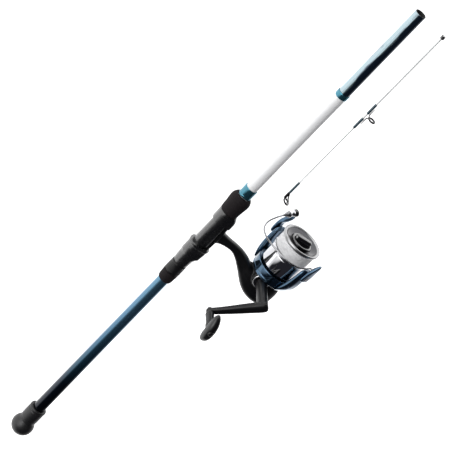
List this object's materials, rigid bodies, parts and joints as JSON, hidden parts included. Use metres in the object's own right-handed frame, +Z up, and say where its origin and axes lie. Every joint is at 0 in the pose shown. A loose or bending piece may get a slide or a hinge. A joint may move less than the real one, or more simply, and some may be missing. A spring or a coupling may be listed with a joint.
{
  "type": "fishing rod and reel",
  "caption": "Handle half of a spinning rod carrying a fixed-spool reel with a crank and an opening bail, laid down beside its loose slim tip section with line guides.",
  "frame": {"origin": "on the ground, under the middle of the bounding box", "axes": "+X along the rod from its butt to its front end, +Z up; the rod lies on its side with the reel towards -Y and the crank pointing up"},
  "size_m": [0.853, 0.1472, 0.1419],
  "materials": {
    "soft_rubber": "matte black rubber with a soft sheen",
    "grip_foam": "matte black closed-cell foam",
    "blank_lacquer": "clear-coated blank, navy behind and in front, white in the middle",
    "tip_lacquer": "clear-coated pale blank",
    "rotor_blue": "metallic dark blue lacquer",
    "trim_blue": "metallic teal-blue lacquer",
    "thread_blue": "dark and teal thread under clear coat",
    "black_plastic": "satin black moulded",
    "spool_bright": "mirror polished",
    "lip_silver": "satin",
    "chrome_trim": "polished",
    "steel": "bright",
    "ring_ceramic": "polished ceramic look",
    "brass": "machined",
    "line": "pale monofilament",
    "felt": "oiled felt"
  },
  "bodies": {
    "rod": {"rod_blank": "blank_lacquer", "butt_cap": "soft_rubber", "reel_seat": "black_plastic", "fixed_hood": "black_plastic", "fore_grip": "grip_foam", "trim_collar": "trim_blue", "front_wrap": "trim_blue", "reel_body": "black_plastic", "side_cover": "black_plastic", "cover_screw_1": "steel", "cover_screw_2": "steel", "cover_screw_3": "steel", "boss_ring": "chrome_trim", "axle_cap": "black_plastic", "axle_bearing_crank": "steel", "axle_bearing_cover": "steel", "pinion_bearing": "steel", "one_way_clutch": "steel"},
    "hood": {"sliding_hood": "black_plastic"},
    "lock_nut": {"seat_lock_nut": "black_plastic", "rear_grip": "grip_foam"},
    "crank": {"drive_gear": "brass", "crank_arm": "black_plastic", "knob_spindle": "steel"},
    "knob": {"knob": "soft_rubber", "knob_cap": "black_plastic"},
    "oscillation": {"oscillation_gear": "black_plastic"},
    "rotor": {"rotor": "rotor_blue", "arm_cover_roller": "rotor_blue", "arm_cover_lever": "rotor_blue", "bail_spring": "steel", "pivot_screw_roller": "steel", "pivot_screw_lever": "steel", "pinion_gear": "brass", "rotor_nut": "steel"},
    "bail": {"bail_arm": "rotor_blue", "bail_lever": "rotor_blue", "bail_wire": "steel", "roller_cap": "black_plastic"},
    "roller": {"line_roller": "chrome_trim"},
    "shaft": {"main_shaft": "steel", "oscillation_slider": "black_plastic", "drag_washer_steel": "steel", "drag_washer_felt": "felt", "drag_spring": "steel"},
    "spool": {"spool": "spool_bright", "spool_lip": "lip_silver", "line_winding": "line"},
    "drag_knob": {"drag_knob": "black_plastic"},
    "tip_section": {"tip_blank": "tip_lacquer", "tip_end_collar": "black_plastic", "tip_wrap": "thread_blue", "guide_wrap_rear": "thread_blue", "guide_wrap_front": "thread_blue", "guide_frame": "steel", "guide_ring": "ring_ceramic", "tip_top_frame": "steel", "tip_top_ring": "ring_ceramic"}
  },
  "joints": [
    {"name": "handle_turn", "type": "hinge", "parent": "rod", "child": "crank", "pos_m": [-0.00643, -0.03379, 0.04391], "axis": [-0.0025, -0.3036, -0.9528], "continuous": true},
    {"name": "knob_spin", "type": "hinge", "parent": "crank", "child": "knob", "pos_m": [-0.05229, 0.04031, 0.10963], "axis": [-0.0025, -0.3036, -0.9528], "continuous": true},
    {"name": "oscillation_spin", "type": "hinge", "parent": "rod", "child": "oscillation", "pos_m": [-0.02594, -0.04573, 0.04042], "axis": [-0.0025, -0.3036, -0.9528], "continuous": true},
    {"name": "rotor_spin", "type": "hinge", "parent": "rod", "child": "rotor", "pos_m": [0.02158, -0.04361, 0.04696], "axis": [1, 0, -0.0027], "continuous": true},
    {"name": "bail_open", "type": "hinge", "parent": "rotor", "child": "bail", "pos_m": [0.04358, -0.04361, 0.0469], "axis": [-0.0026, 0.2474, -0.9689], "range_deg": [0, 130]},
    {"name": "roller_spin", "type": "hinge", "parent": "bail", "child": "roller", "pos_m": [0.07447, -0.03347, 0.00709], "axis": [0.3414, -0.9105, -0.2334], "continuous": true},
    {"name": "spool_travel", "type": "slide", "parent": "rod", "child": "shaft", "axis": [1, 0, -0.0027], "range_m": [-0.005, 0.005]},
    {"name": "drag_slip", "type": "hinge", "parent": "shaft", "child": "spool", "pos_m": [0.05658, -0.04361, 0.04686], "axis": [1, 0, -0.0027], "continuous": true},
    {"name": "drag_knob_turn", "type": "hinge", "parent": "shaft", "child": "drag_knob", "pos_m": [0.06758, -0.04361, 0.04684], "axis": [1, 0, -0.0027], "range_deg": [-540, 360]},
    {"name": "hood_slide", "type": "slide", "parent": "rod", "child": "hood", "axis": [-1, 0, 0.0027], "range_m": [0, 0.012]},
    {"name": "nut_turn", "type": "hinge", "parent": "hood", "child": "lock_nut", "pos_m": [-0.06351, 0.05767, 0.01491], "axis": [-1, 0, 0.0027], "range_deg": [-10, 2170]},
    {"name": "tip_lift_off", "type": "slide", "parent": "rod", "child": "tip_section", "axis": [0, 0, 1], "range_m": [0, 0.15]}
  ],
  "couplings": [
    {"joint": "rotor_spin", "follows": "handle_turn", "ratio": 5.1429},
    {"joint": "oscillation_spin", "follows": "handle_turn", "ratio": -0.66667},
    {"joint": "nut_turn", "follows": "hood_slide", "rad_per_m": 3141.6}
  ]
}
